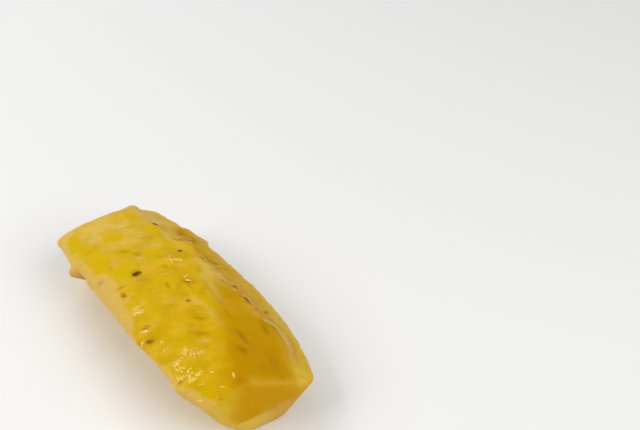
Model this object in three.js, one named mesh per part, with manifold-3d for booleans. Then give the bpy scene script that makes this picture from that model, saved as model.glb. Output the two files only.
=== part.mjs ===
import * as THREE from 'three';
import { mergeVertices } from 'three/addons/utils/BufferGeometryUtils.js';
import Module from 'manifold-3d';

// A long wedge of smoked pineapple, one solid. It lies on the narrow flat where the core was cut
// away, with its peeled outside up. Millimetres: X runs along the piece, Y across it and Z up,
// and the origin is under its middle. The heart line is the straight line through its flesh,
// along X, from which every surface point is measured. Angles "around" it are in degrees,
// from +Y up towards +Z.

// Size of the piece
const LENGTH = 105.4;
const HEART_HEIGHT = 14;

// Knife cuts along the piece. facing: the way the cut faces, around the heart line.
// reach: its distance from the heart line at mid length. taper: how much further out it lies
// at the near end, +X. bow: how much it closes in towards both ends.
const LONG_CUTS = [
  { name: 'left wedge cut', facing: 213.5, reach: 16.4, taper: -0.3, bow: 1.0 },
  { name: 'left stroke of the peeling knife', facing: 112, reach: 17.5, taper: 4.4, bow: 0.6 },
  { name: 'top stroke of the peeling knife', facing: 95, reach: 13.7, taper: 1.9, bow: 1.9 },
  { name: 'right stroke of the peeling knife', facing: 63.5, reach: 15.5, taper: -1.9, bow: 6.4 },
  { name: 'lowest stroke at the right', facing: 27, reach: 23.3, taper: 2.1, bow: 2.7 },
  { name: 'right wedge cut', facing: 316, reach: 17.8, taper: 1.7, bow: 4.6 },
];

// The short stroke that slopes the near left corner. along, across and up: the way it faces.
// distance: how far it lies from the middle of the heart line, times the length of that direction.
const CORNER_STROKE = { along: 0.65, across: -0.56, up: 1, distance: 51 };

// Cuts across the two ends, half the length from the middle. across and up: how each leans.
const END_CUTS = [
  { name: 'far end', along: -1, across: 0.12, up: 0.15 },
  { name: 'near end', along: 1, across: -0.07, up: -0.13 },
];

// How crisply the cuts meet: a higher power gives a sharper edge
const LONG_EDGE_POWER = 12;
const END_EDGE_POWER = 16;

// The peeled face runs from its right edge to its left edge around the heart line
const PEELED_FROM = 16;
const PEELED_TO = 158;
const PEELED_BLEND = 9;

// Lumps that stand proud at the edges, and dips, where height is below zero.
// along and across: their half widths. tornAt: where along the piece one is torn off.
const LUMPS = [
  { name: 'far right corner', x: -50.5, around: 50, height: 3.8, along: 3.2, across: 4.5 },
  { name: 'hollow beside the far right corner', x: -41, around: 36, height: -0.8, along: 3.5, across: 5 },
  { name: 'swell beside the hanging scrap', x: -39, around: 163, height: 0.9, along: 4.5, across: 5 },
  { name: 'scrap hanging at the left', x: -32.4, around: 170, height: 3.4, along: 3, across: 2.8, tornAt: -32 },
  { name: 'hollow under the hanging scrap', x: -28, around: 166, height: -0.9, along: 2.6, across: 5 },
  { name: 'bump at the right', x: -28.5, around: 22, height: 1.2, along: 3, across: 4 },
  { name: 'step at the right', x: -21.5, around: 16, height: 1.4, along: 3.5, across: 4, tornAt: -20.4 },
  { name: 'left bump', x: 17, around: 157, height: 0.6, along: 3.0, across: 5 },
  { name: 'dip beside the left bump', x: 23, around: 158, height: -0.4, along: 4.0, across: 5 },
  { name: 'left near corner', x: 42.5, around: 163, height: 1.6, along: 4.0, across: 6 },
  { name: 'right near corner', x: 54, around: 354, height: -0.4, along: 6.0, across: 6 },
  { name: 'low near corner', x: 52, around: 234, height: -2.4, along: 6.0, across: 6 },
];
const TEAR = 0.5;               // half the length over which a torn lump falls away

// Eyes of the fruit, cut through by the peeling knife. depth and width: the pit that is left.
// scrap: the length of the brown scrap in it, where there is one.
const EYES = [
  { x: -45, around: 92, depth: 0.30, width: 3.4, scrap: 0 },
  { x: -44, around: 137, depth: 0.30, width: 3.6, scrap: 0 },
  { x: -34, around: 47, depth: 0.50, width: 3.0, scrap: 1.5 },
  { x: -30, around: 86, depth: 0.30, width: 4.0, scrap: 0 },
  { x: -23, around: 116, depth: 0.45, width: 4.2, scrap: 0 },
  { x: -13, around: 57, depth: 0.60, width: 3.2, scrap: 1.4 },
  { x: -11.5, around: 130, depth: 0.55, width: 3.6, scrap: 3.2 },
  { x: -5, around: 150, depth: 0.35, width: 2.2, scrap: 1.2 },
  { x: 5, around: 82, depth: 0.50, width: 3.8, scrap: 1.1 },
  { x: 12.5, around: 104, depth: 0.45, width: 3.2, scrap: 1.2 },
  { x: 14.5, around: 151, depth: 0.30, width: 2.0, scrap: 1.2 },
  { x: 18, around: 62, depth: 0.45, width: 4.2, scrap: 0 },
  { x: 20, around: 154, depth: 0.60, width: 2.6, scrap: 2.0 },
  { x: 24, around: 15, depth: 0.40, width: 2.6, scrap: 1.2 },
  { x: 29, around: 120, depth: 0.40, width: 3.6, scrap: 0 },
  { x: 36, around: 68, depth: 0.55, width: 4.6, scrap: 0 },
  { x: 40, around: 147, depth: 0.35, width: 3.4, scrap: 0 },
];

// Thin flaps that the knife left along the right of the peeled face. Each runs from one place to
// the other and sags in between, in degrees. width: its half width on the steep side.
const FLAPS = [
  { x: [-33, -14], around: [50, 41], sag: 1, height: 0.6, width: 1.0 },
  { x: [-18, 9], around: [41, 40], sag: 1, height: 0.7, width: 1.0 },
  { x: [2, 26], around: [42, 20], sag: 1, height: 0.8, width: 1.0 },
  { x: [10, 28], around: [40, 27], sag: 1, height: 0.5, width: 1.0 },
  { x: [26, 47], around: [24, 13], sag: 7, height: 0.8, width: 1.0 },
];
const FLAP_BACK = 3.2;          // the slope behind a flap is this many times longer
const FLAP_FADE = 3;            // length over which a flap starts and ends

// Soft swells of the peeled face and fainter ones of the cut faces
const SWELL_HEIGHT = 0.28;
const SWELL_LENGTH = 30;
const SWELL_WIDTH = 26;
const RIPPLE_HEIGHT = 0.12;
const RIPPLE_LENGTH = 11;
const CUT_SHARE = 0.35;

// Brown scraps, as parts of their length, and how far each is sunk
const SCRAP_WIDTH = 0.5;
const SCRAP_THICKNESS = 0.42;
const SCRAP_SUNK = 0.30;
const SCRAP_TURN = 2.4;         // radians by which each scrap lies turned from the one before

// Facets of the flesh: columns around the heart line, rows along it and round each end
const COLUMN_FANS = [
  { from: -128, to: -52, steps: 8 },
  { from: -52, to: 6, steps: 11 },
  { from: 6, to: 60, steps: 28 },
  { from: 60, to: 180, steps: 29 },
  { from: 180, to: 232, steps: 8 },
];
const BODY_ROWS = 46;
const END_SIDE_ROWS = 6;        // from the last body row to the edge of an end
const END_FACE_ROWS = 4;        // from that edge to the middle of the end
const END_DEPTH = 12;           // the rays of an end start this far inside it
const EDGE_PASSES = 14;         // halvings by which the edge of an end is found

const RAY_PASSES = 3;
const DEGREE = Math.PI / 180;
const MEAN_REACH = 20;          // turns an angle around the heart line into a length on the surface

function smooth(from, to, value) {
  return THREE.MathUtils.smoothstep(value, from, to);
}

function bell(value) {
  return Math.exp(-value * value);
}

// Length on the surface between two angles around the heart line
function arcBetween(around, other) {
  const turn = THREE.MathUtils.euclideanModulo(around - other + 180, 360) - 180;
  return turn * DEGREE * MEAN_REACH;
}

function peeledShare(around) {
  const turned = THREE.MathUtils.euclideanModulo(around + 90, 360) - 90;
  const rising = smooth(PEELED_FROM - PEELED_BLEND, PEELED_FROM + PEELED_BLEND, turned);
  const falling = smooth(PEELED_TO - PEELED_BLEND, PEELED_TO + PEELED_BLEND, turned);
  return rising * (1 - falling);
}

// How directly a ray runs towards the way that a cut faces
function towards(cut, direction) {
  const run = cut.along * direction.x + cut.across * direction.y + cut.up * direction.z;
  return Math.max(run, 0);
}

// How near a ray comes to the cuts along the piece, as one over its reach to them. x is the
// place along the piece at which the curved cuts are read.
function nearnessOfSides(startX, direction, x) {
  const part = x / (LENGTH / 2);
  const cornerReach = CORNER_STROKE.distance - CORNER_STROKE.along * startX;
  let sum = (towards(CORNER_STROKE, direction) / cornerReach) ** LONG_EDGE_POWER;
  for (const cut of LONG_CUTS) {
    const facing = cut.facing * DEGREE;
    const face = { along: 0, across: Math.cos(facing), up: Math.sin(facing) };
    const reach = cut.reach + cut.taper * part - cut.bow * part * part;
    sum += (towards(face, direction) / reach) ** LONG_EDGE_POWER;
  }
  return sum ** (1 / LONG_EDGE_POWER);
}

function nearnessOfEnds(startX, direction) {
  let sum = 0;
  for (const cut of END_CUTS) {
    sum += (towards(cut, direction) / (LENGTH / 2 - cut.along * startX)) ** END_EDGE_POWER;
  }
  return sum ** (1 / END_EDGE_POWER);
}

function nearnessOfBase(direction) {
  return Math.max(-direction.z, 0) / HEART_HEIGHT;
}

function lumpHeight(x, around) {
  let height = 0;
  for (const lump of LUMPS) {
    const along = (x - lump.x) / lump.along;
    const across = arcBetween(around, lump.around) / lump.across;
    const torn = lump.tornAt === undefined ? 0 : smooth(lump.tornAt - TEAR, lump.tornAt + TEAR, x);
    height += lump.height * bell(Math.hypot(along, across)) * (1 - torn);
  }
  return height;
}

function pitDepth(x, around) {
  let depth = 0;
  for (const eye of EYES) {
    const away = Math.hypot(x - eye.x, arcBetween(around, eye.around));
    depth += eye.depth * bell(away / eye.width);
  }
  return depth;
}

function flapHeight(x, around) {
  let height = 0;
  for (const flap of FLAPS) {
    const [start, end] = flap.x;
    const part = THREE.MathUtils.clamp((x - start) / (end - start), 0, 1);
    const line = THREE.MathUtils.lerp(flap.around[0], flap.around[1], part)
      - flap.sag * Math.sin(Math.PI * part);
    const above = arcBetween(around, line);
    const halfWidth = above > 0 ? flap.width * FLAP_BACK : flap.width;
    const fade = smooth(start - FLAP_FADE, start + FLAP_FADE, x)
      * (1 - smooth(end - FLAP_FADE, end + FLAP_FADE, x));
    height += flap.height * fade * bell(above / halfWidth);
  }
  return height;
}

function swellHeight(x, around) {
  const arc = arcBetween(around, 90);
  const along = 2 * Math.PI * x / SWELL_LENGTH;
  const across = 2 * Math.PI * arc / SWELL_WIDTH;
  const ripple = 2 * Math.PI * (x + 0.6 * arc) / RIPPLE_LENGTH;
  return SWELL_HEIGHT * Math.sin(along + 0.8 * Math.sin(across)) * Math.cos(across + 0.6 * Math.sin(along))
    + RIPPLE_HEIGHT * Math.sin(ripple + Math.sin(across));
}

function reliefHeight(x, around) {
  const peeled = peeledShare(around);
  const swell = swellHeight(x, around) * (CUT_SHARE + (1 - CUT_SHARE) * peeled);
  return lumpHeight(x, around) + swell + flapHeight(x, around) - pitDepth(x, around) * peeled;
}

// A ray's direction. It turns from straight across (0) towards an end (-90 or 90 degrees).
function rayDirection(turn, around) {
  return new THREE.Vector3(
    Math.sin(turn * DEGREE),
    Math.cos(turn * DEGREE) * Math.cos(around * DEGREE),
    Math.cos(turn * DEGREE) * Math.sin(around * DEGREE),
  );
}

// How far a ray runs to the sides of the piece, with their relief
function reachOfSides(startX, direction, x, turn, around) {
  const relief = reliefHeight(x, around) * Math.cos(turn * DEGREE);
  return 1 / nearnessOfSides(startX, direction, x) + relief;
}

// The point where a ray that starts on the heart line leaves the piece. Sides and ends meet in
// rounded edges.
function surfacePoint(startX, turn, around) {
  const direction = rayDirection(turn, around);
  const ends = nearnessOfEnds(startX, direction) ** END_EDGE_POWER;
  let x = startX;
  let reach = 0;
  for (let pass = 0; pass < RAY_PASSES; pass += 1) {
    const sides = reachOfSides(startX, direction, x, turn, around) ** -END_EDGE_POWER;
    reach = (sides + ends) ** (-1 / END_EDGE_POWER);
    x = startX + reach * direction.x;
  }
  reach = Math.min(reach, 1 / nearnessOfBase(direction));
  return new THREE.Vector3(startX, 0, HEART_HEIGHT).addScaledVector(direction, reach);
}

// The turn at which the rays of an end pass its edge, for one direction around the heart line
function edgeTurn(side, around) {
  const startX = side * (LENGTH / 2 - END_DEPTH);
  let low = 0;
  let high = 90;
  for (let pass = 0; pass < EDGE_PASSES; pass += 1) {
    const turn = (low + high) / 2;
    const direction = rayDirection(side * turn, around);
    const ends = nearnessOfEnds(startX, direction);
    const x = startX + direction.x / Math.max(ends, 1 / LENGTH);
    const sides = 1 / reachOfSides(startX, direction, x, turn, around);
    if (ends > Math.max(sides, nearnessOfBase(direction))) {
      high = turn;
    } else {
      low = turn;
    }
  }
  return low;
}

function columnAngles() {
  const angles = [];
  for (const fan of COLUMN_FANS) {
    for (let step = 0; step < fan.steps; step += 1) {
      angles.push(THREE.MathUtils.lerp(fan.from, fan.to, step / fan.steps));
    }
  }
  return angles;
}

// The turns of an end's rays in one column, from the last body row to the middle of the end.
// One of them lies on the edge, so the edge stays crisp.
function endTurns(side, around) {
  const edge = edgeTurn(side, around);
  const turns = [];
  for (let step = 1; step <= END_SIDE_ROWS; step += 1) {
    turns.push(edge * step / END_SIDE_ROWS);
  }
  for (let step = 1; step < END_FACE_ROWS; step += 1) {
    turns.push(THREE.MathUtils.lerp(edge, 90, step / END_FACE_ROWS));
  }
  return turns;
}

// The points of one column, from the far end to the near end, without the ends' middles
function columnPoints(around) {
  const inner = LENGTH / 2 - END_DEPTH;
  const points = [];
  for (const turn of endTurns(-1, around).reverse()) {
    points.push(surfacePoint(-inner, -turn, around));
  }
  for (let step = 0; step <= BODY_ROWS; step += 1) {
    points.push(surfacePoint(THREE.MathUtils.lerp(-inner, inner, step / BODY_ROWS), 0, around));
  }
  for (const turn of endTurns(1, around)) {
    points.push(surfacePoint(inner, turn, around));
  }
  return points;
}

// The flesh as one closed skin: a grid of rows and columns, and a fan over each end
function fleshGeometry() {
  const columns = columnAngles().map(columnPoints);
  const rows = columns[0].length;
  const inner = LENGTH / 2 - END_DEPTH;
  const points = columns.flat();
  const farMiddle = points.length;
  const nearMiddle = farMiddle + 1;
  points.push(surfacePoint(-inner, -90, 0), surfacePoint(inner, 90, 0));

  const faces = [];
  for (let column = 0; column < columns.length; column += 1) {
    const here = column * rows;
    const next = ((column + 1) % columns.length) * rows;
    for (let row = 0; row < rows - 1; row += 1) {
      faces.push(here + row, next + row, next + row + 1);
      faces.push(here + row, next + row + 1, here + row + 1);
    }
    faces.push(farMiddle, next, here);
    faces.push(nearMiddle, here + rows - 1, next + rows - 1);
  }
  const geometry = new THREE.BufferGeometry().setFromPoints(points);
  geometry.setIndex(faces);
  return geometry;
}

// A brown scrap of an eye, lying along the surface and partly sunk in it
function scrapGeometry(eye, index) {
  const middle = surfacePoint(eye.x, 0, eye.around);
  const along = surfacePoint(eye.x + 1, 0, eye.around).sub(middle).normalize();
  const round = surfacePoint(eye.x, 0, eye.around + 3).sub(middle);
  const outward = new THREE.Vector3().crossVectors(round, along).normalize();
  const sideways = new THREE.Vector3().crossVectors(outward, along);
  const thickness = eye.scrap * SCRAP_THICKNESS;
  middle.addScaledVector(outward, thickness * (0.5 - SCRAP_SUNK));

  const geometry = new THREE.OctahedronGeometry(0.5, 1);
  geometry.scale(eye.scrap, eye.scrap * SCRAP_WIDTH, thickness);
  geometry.rotateZ(index * SCRAP_TURN);
  geometry.applyMatrix4(new THREE.Matrix4().makeBasis(along, sideways, outward));
  geometry.translate(middle.x, middle.y, middle.z);
  return geometry;
}

const wasm = await Module();
wasm.setup();

function toManifold(geometry) {
  geometry.deleteAttribute('normal');
  geometry.deleteAttribute('uv');
  const merged = mergeVertices(geometry);
  return new wasm.Manifold(new wasm.Mesh({
    numProp: 3,
    vertProperties: new Float32Array(merged.attributes.position.array),
    triVerts: new Uint32Array(merged.index.array),
  }));
}

function toGeometry(solid) {
  const mesh = solid.getMesh();
  const geometry = new THREE.BufferGeometry();
  geometry.setAttribute('position', new THREE.BufferAttribute(mesh.vertProperties, 3));
  geometry.setIndex(new THREE.BufferAttribute(mesh.triVerts, 1));
  return geometry;
}

function pineapplePiece() {
  let solid = toManifold(fleshGeometry());
  EYES.forEach((eye, index) => {
    if (eye.scrap > 0) {
      solid = solid.add(toManifold(scrapGeometry(eye, index)));
    }
  });
  const geometry = toGeometry(solid);
  geometry.computeBoundingBox();
  const middle = geometry.boundingBox.getCenter(new THREE.Vector3());
  geometry.translate(-middle.x, -middle.y, -geometry.boundingBox.min.z);
  geometry.computeVertexNormals();
  const flesh = new THREE.MeshStandardMaterial({ color: 0xd0a818, roughness: 0.35, metalness: 0 });
  const piece = new THREE.Mesh(geometry, flesh);
  piece.name = 'pineapple_wedge';
  return piece;
}

const part = new THREE.Group();
part.add(pineapplePiece());

export default part;
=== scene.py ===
import math
from functools import partial

import bmesh
import bpy
import numpy as np
from mathutils import Matrix, Vector


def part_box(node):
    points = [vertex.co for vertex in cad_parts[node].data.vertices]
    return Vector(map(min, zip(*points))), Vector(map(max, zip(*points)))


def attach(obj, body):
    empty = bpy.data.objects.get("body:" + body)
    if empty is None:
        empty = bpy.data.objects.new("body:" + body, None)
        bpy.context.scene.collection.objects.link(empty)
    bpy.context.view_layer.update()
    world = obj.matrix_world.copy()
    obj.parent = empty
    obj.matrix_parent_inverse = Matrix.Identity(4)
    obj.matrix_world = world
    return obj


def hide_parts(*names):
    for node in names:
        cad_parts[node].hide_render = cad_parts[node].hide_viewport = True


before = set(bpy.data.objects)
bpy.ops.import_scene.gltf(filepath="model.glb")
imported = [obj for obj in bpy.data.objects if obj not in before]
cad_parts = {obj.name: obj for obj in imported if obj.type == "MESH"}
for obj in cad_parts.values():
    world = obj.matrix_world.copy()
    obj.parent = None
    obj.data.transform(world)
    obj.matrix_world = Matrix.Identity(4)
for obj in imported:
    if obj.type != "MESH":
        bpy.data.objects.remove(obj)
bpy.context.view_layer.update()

bl_info = {
    "name": "Smoked pineapple wedge",
    "version": (1, 0, 0),
    "blender": (4, 5, 0),
    "location": "View3D > Sidebar > Pineapple",
    "description": "Builds the visible flesh, folds, eye scraps and juice of one smoked wedge",
    "category": "Object",
}

NODE = "pineapple_wedge"
MM = 0.001

# All sizes in these tables are in millimetres and degrees. Places on the surface are given by x and
# by the angle around the heart line, which runs along the piece above its base.

# The knife cuts, as in the part's source. Each long cut: the way it faces around the heart line,
# its reach at mid length, its taper and its bow.
LONG_CUTS = (
    (213.5, 16.4, -0.3, 1),
    (112, 17.5, 4.4, 0.6),
    (95, 13.7, 1.9, 1.9),
    (63.5, 15.5, -1.9, 6.4),
    (27, 23.3, 2.1, 2.7),
    (316, 17.8, 1.7, 4.6),
)
# The short stroke at the near left corner: along, across, up and distance
CORNER_STROKE = (0.65, -0.56, 1.0, 51.0)
# The end cuts: along, across and up
END_CUTS = ((-1.0, 0.12, 0.15), (1.0, -0.07, -0.13))
DOWN = (0, 0, -1)
# How sharply the cuts meet: along the sides, at the ends and at the base
SIDE_POWER, END_POWER, BASE_POWER = 12, 16, 24
# How far the outermost rays start from the ends, and the mean distance from heart line to surface
END_DEPTH, MEAN_REACH = 12.0, 20.0
# The angle around the heart line that points straight up
TOP = 90
# Soft borders around the heart line: between which angles each rises, and between which it falls
PEELED = ((7, 25), (149, 167))
SHOWN = ((7, 25), (162, 170))
RIGHT_EDGE = ((-10, 2), (30, 42))
# The last one marks the right of the far half, which gets painted shade
OLIVE_SHADE = ((6, 16), (36, 46))

# Lumps and dips at the edges: x, around, height, half width along, half width across, and where
# along the piece one is torn off
LUMPS = (
    (-50.5, 50, 3.8, 3.2, 4.5, None),
    (-41, 36, -0.8, 3.5, 5, None),
    (-39, 163, 0.9, 4.5, 5, None),
    (-32.4, 170, 3.4, 3, 2.8, -32),
    (-28, 166, -0.9, 2.6, 5, None),
    (-28.5, 22, 1.2, 3, 4, None),
    (-21.5, 16, 1.4, 3.5, 4, -20.4),
    (17, 157, 0.6, 3, 5, None),
    (23, 158, -0.4, 4, 5, None),
    (42.5, 163, 1.6, 4, 6, None),
    (54, 354, -0.4, 6, 6, None),
    (52, 234, -2.4, 6, 6, None),
)
# Half the length of the step where one is torn off
TEAR = 0.5
# The slow swell of the flesh: its length along and across and its height, and the ripple on it
SWELL_ALONG, SWELL_ACROSS, SWELL_HEIGHT = 30, 26, 0.28
RIPPLE_LENGTH, RIPPLE_SLANT, RIPPLE_HEIGHT = 11, 0.6, 0.12
# Eyes cut through by the knife: x, around, depth of the pit, its width, length of the scrap left in
# it, and how dark and dry that scrap is
EYES = (
    (-45, 92, 0.30, 3.4, 0, 0),
    (-44, 137, 0.30, 3.6, 0, 0),
    (-34, 47.5, 0.50, 3, 1.5, 1),
    (-30, 86, 0.30, 4, 0, 0),
    (-23, 116, 0.45, 4.2, 0, 0),
    (-13, 57, 0.60, 3.2, 1.4, 0.9),
    (-11.5, 130, 0.55, 3.6, 3.1, 1),
    (-5, 150, 0.35, 2.2, 0.7, 0.3),
    (5, 82, 0.50, 3.8, 0.9, 0.3),
    (12.5, 104, 0.45, 3.2, 1.3, 0.4),
    (14.5, 151, 0.30, 2, 1.1, 0.35),
    (18, 62, 0.45, 4.2, 0, 0),
    (20, 154, 0.60, 2.6, 1.9, 0.45),
    (24, 15, 0.40, 2.6, 1.1, 0.4),
    (29, 120, 0.40, 3.6, 0, 0),
    (36, 68, 0.55, 4.6, 0, 0),
    (40, 147, 0.35, 3.4, 0, 0),
)
# Flaps along the right of the peeled face: x from and to, around from and to, sag, height, width
FLAPS = (
    (-33, -14, 50, 41, 1, 0.6, 0.8),
    (-18, 9, 41, 40, 1, 0.7, 0.8),
    (2, 26, 42, 20, 1, 0.8, 0.8),
    (10, 28, 40, 27, 1, 0.5, 0.8),
    (26, 47, 24, 13, 7, 0.8, 0.9),
)
# How much wider than that a flap is below its line and above it, and how far its ends fade
FLAP_FRONT, FLAP_BACK, FLAP_FADE = 0.7, 3.2, 3.0
# The fibres of the peeled face run at this angle to X
FIBRE_LEAN = 56
# The fruit's core runs along X, under the base. Strands fan out from it and lean along the piece.
CORE_Y, CORE_Z, STRAND_LEAN = -1.6, -13.3, 0.3
# Distance between strands, at this distance from the core, and their length
STRAND_GAP, FAN_REACH, STRAND_LENGTH = 1.2, 30, 9.0
# The pale strip along the left edge: where its outer border lies around the heart line, and where
# its inner line lies, by x
STRIP_END = 166
STRIP_LINE = (
    (-52, 160), (-40, 162), (-34, 157), (-28, 159), (-23, 156), (-19, 149), (-14, 148), (-9, 149.5),
    (0, 152.5), (9, 153.5), (13, 158), (18, 160), (27, 159), (31, 156), (35, 153.5), (46, 154.5),
    (51, 156),
)

# Each patch below: x, around, half length, half width, lean and strength
# Riper, deeper yellow flesh
RIPE_PATCHES = (
    (-47.5, 88, 1.8, 2.2, 0, 0.9), (-43, 68, 2.9, 3.2, -0.2, 0.7), (-35, 120, 2.2, 4, -0.1, 1),
    (-31.5, 153, 4.2, 3, 0, 1), (-20, 152, 5, 1.8, 0, 0.7), (-45.5, 157, 3.2, 1.8, 0, 0.8),
    (-24.5, 119, 2.4, 3.2, -0.2, 0.8), (-29, 63, 3.2, 2.6, 0.4, 0.8),
    (-15, 135, 4.5, 4.6, -0.2, 0.8), (-16.5, 93, 3.4, 4.2, -0.2, 0.6),
    (-8, 92, 1.8, 2.4, -0.3, 0.8), (0, 110, 4.6, 4, -0.2, 0.5), (-42.6, 158, 2.6, 1.5, 0, 1),
    (-36, 153, 4, 1.6, 0, 0.8), (-25.5, 150, 4, 2.4, 0, 0.9), (-19, 66, 3, 2.2, 0, 0.6),
    (6, 140, 7, 3.4, -0.2, 0.4), (8, 88, 3.4, 2.6, -0.4, 0.5), (24, 142, 7, 3.4, -0.2, 0.3),
    (42, 152, 8, 2.4, 0, 0.4), (49, 158, 2.6, 2, 0, 0.6),
)
# Paler, cloudier flesh
PALE_PATCHES = (
    (-46, 128, 3.4, 7, 0, 0.9), (-40, 96, 1.8, 5, -0.3, 0.8), (-30.5, 116, 0.9, 5, -0.1, 0.6),
    (-30.5, 84, 2.6, 3.4, -0.2, 0.7), (-39.5, 140, 2.2, 2.6, 0, 0.6), (-20, 84, 1.2, 5, -0.2, 0.5),
    (-23, 55, 3, 1.6, 0.3, 0.8), (-2, 50, 8, 2, 0, 0.5), (-46, 47, 4, 2.6, 0, 0.8),
    (-38, 40, 5, 2, 0.3, 0.6), (14, 96, 3, 1.6, -0.4, 0.5), (-50, 108, 1.4, 6, 0, 0.6),
    (-16, 112, 1, 3.4, -0.3, 0.4), (16, 74, 4, 1.6, -0.3, 0.3), (-34, 98, 1.6, 2.6, -0.3, 0.5),
    (-52, 163, 3.4, 3, 0, 0.9), (32, 122, 2, 1, -0.6, 0.4), (8.5, 122, 0.8, 4, -0.4, 0.4),
    (-22, 153, 3, 1.6, 0, 0.5), (49.5, 164, 3.4, 1.8, 0, 0.8), (16, 22, 9, 2.2, 0, 0.5),
    (36, 10, 9, 2.4, 0, 0.5), (10, 60, 9, 2.2, 0.5, 0.5), (24, 92, 7, 1.8, 0.5, 0.35),
    (0, 50, 6, 2.4, 0.4, 0.4),
)
# Pinker flesh at the edges
PINK_PATCHES = (
    (-41, 34, 9, 3.4, 0, 0.9), (12, 20, 8, 1.6, 0, 0.4), (30, 10, 9, 2, 0, 0.5),
    (43, 13, 3, 1.4, 0, 0.5), (-20.8, 15, 2.4, 2.6, 0, 0.9), (-32, 166, 3, 3, 0, 0.5),
    (-31, 48, 4, 1.2, 0.3, 0.4), (6, 44, 4, 1.2, 0.5, 0.7), (19, 29, 5, 1.2, 0.5, 0.6),
    (-49.8, 94, 1.8, 8, 0, 0.8), (-49.4, 56, 2.4, 5, 0, 0.8),
)
# Darker, more see-through spots
DARK_SPOTS = (
    (-25.5, 123, 0.9, 2.2, -0.6, 0.8), (-21.5, 112, 0.8, 1.4, -0.6, 0.7),
    (-7, 130, 0.8, 1.5, -0.5, 0.5), (-9, 148, 0.6, 1.2, -0.3, 1), (-5.5, 150, 1, 0.5, 0, 1.2),
    (-2, 147, 0.6, 0.9, 0, 0.7), (-7.5, 93, 1.2, 1.3, -0.4, 0.7), (-14, 88, 0.9, 1.6, -0.4, 0.5),
    (1.5, 111, 1.5, 0.8, 0.6, 0.8), (4.5, 85, 1.5, 2.2, -0.5, 0.9), (22, 111, 1.3, 2.2, -0.6, 0.7),
    (28.5, 121, 1.3, 2.5, -0.6, 0.7), (35.5, 76, 3.6, 1.3, 0.3, 0.9), (41, 93, 2, 2.6, 0, 0.8),
    (32, 28, 2.4, 1.2, 0, 0.6), (47, 45, 4, 4, 0, 0.5), (-8, 34, 1.8, 1.4, 0, 1.3),
    (-3.5, 32, 1.4, 1.6, 0, 1.6), (-25, 31, 2.6, 1.6, 0.6, 1.2), (-20, 28, 3, 1.2, 0.6, 1.2),
    (14, 151, 0.7, 0.8, 0, 1.2), (-35, 152, 0.9, 1.2, 0, 0.4), (36, 60, 3, 1, 0.3, -0.8),
    (24, 72, 2, 1, 0.3, 0.5), (-17.5, 157, 1.2, 0.8, 0, 0.5), (41.5, 155, 0.6, 0.6, 0, 1),
    (18, 158, 0.7, 0.6, 0, 0.8), (49, 74, 2, 4.5, 0, 0.45), (51.5, 126, 1.6, 1.6, 0, 0.5),
    (52, 153, 0.5, 0.5, 0, 0.9), (34.4, 72, 1, 2.2, -0.4, 0.7), (33, 29, 2.6, 1, 0, 0.6),
    (40.5, 92, 1.2, 2, -0.4, 0.5), (-34, 49, 3, 1, 0.4, 0.4), (-32, 45, 3, 1.4, 0.4, 0.5),
    (7, 88, 2.6, 0.7, 0.4, 0.5), (20, 22, 3, 1, 0.3, 0.4), (30, 16, 3.5, 1.2, 0.3, 0.45),
)
# Seed cavities that the side cuts opened
SEED_CAVITIES = (
    (-41, 182, 0.8, 1.5, 0.2, 1), (-23, 179, 0.7, 1.9, 0.3, 1.1), (-9, 184, 0.7, 1.3, 0.2, 0.9),
    (7, 180, 0.8, 1.8, 0.3, 1.1), (24, 183, 0.7, 1.4, 0.2, 1), (39, 179, 0.8, 1.7, 0.3, 1),
    (-34, 348, 0.7, 1.5, -0.2, 1), (-16, 345, 0.8, 1.8, -0.3, 1.1), (1, 349, 0.7, 1.4, -0.2, 1),
    (17, 346, 0.8, 1.8, -0.3, 1.1), (35, 348, 0.7, 1.5, -0.2, 1),
)
# Pale bundles of fibre that cross the peeled face: x and around at both ends, and half width
PALE_STREAKS = (
    (-5.2, 110, -3.6, 88, 0.6), (-11.5, 141, -6.5, 126, 0.7), (30.5, 131, 33.5, 116, 0.5),
    (8, 130, 12, 112, 0.5), (12, 108, 17, 92, 0.8), (-19, 118, -16, 100, 0.6),
    (-24, 58, -17, 50, 1.1), (0, 137, 2, 120, 0.4), (20, 104, 23, 90, 0.4), (38, 118, 41, 106, 0.4),
    (-30, 112, -27, 90, 0.8), (24, 128, 26, 118, 0.4), (2, 60, 22, 66, 1.6),
    (-38, 108, -36, 90, 0.8), (46, 118, 47, 104, 0.4),
)
# Places that stayed wettest: x, around, half width
WET_PLACES = (
    (-12.3, 76, 0.7), (-10.5, 82, 0.8), (-9.2, 80, 0.7), (-8.2, 73, 0.8), (-6.8, 69, 0.7),
    (-5.5, 75, 0.7), (-3.5, 76, 0.5), (0.5, 81, 0.5), (4.5, 83, 0.7), (-22.5, 142, 0.6),
    (-2.3, 149, 0.5), (4, 146, 0.8), (6.3, 148, 0.8), (14.8, 152, 0.6), (18.5, 156, 0.6),
    (23, 150, 0.4), (27.5, 150, 0.7), (31.2, 141, 0.8), (33, 143, 0.5), (33.5, 137, 0.5),
    (35, 138, 0.9), (36, 133, 0.7), (34.5, 150, 0.8), (37.5, 151, 0.7), (40.5, 149, 0.9),
    (42.5, 149, 0.8), (43, 144, 0.5), (46.5, 149, 0.6), (45, 140, 0.4), (48.5, 140, 0.6),
    (50, 127, 0.6), (48.5, 159, 0.7), (40.5, 153, 0.5), (5, 41, 0.6), (8, 36, 0.5), (-21, 66, 0.5),
)
# Painted highlight: a pale line along the upper edge of the near end face, across and up at its
# corners
END_EDGE_HIGHLIGHT = ((-4.5, 24.0), (-1, 21.6), (4.7, 18.4), (9, 16.2))
# The pale lump at the right of that face: across, up, half width, half height
END_LUMP = (13.6, 14.6, 3.2, 3.4)
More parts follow.
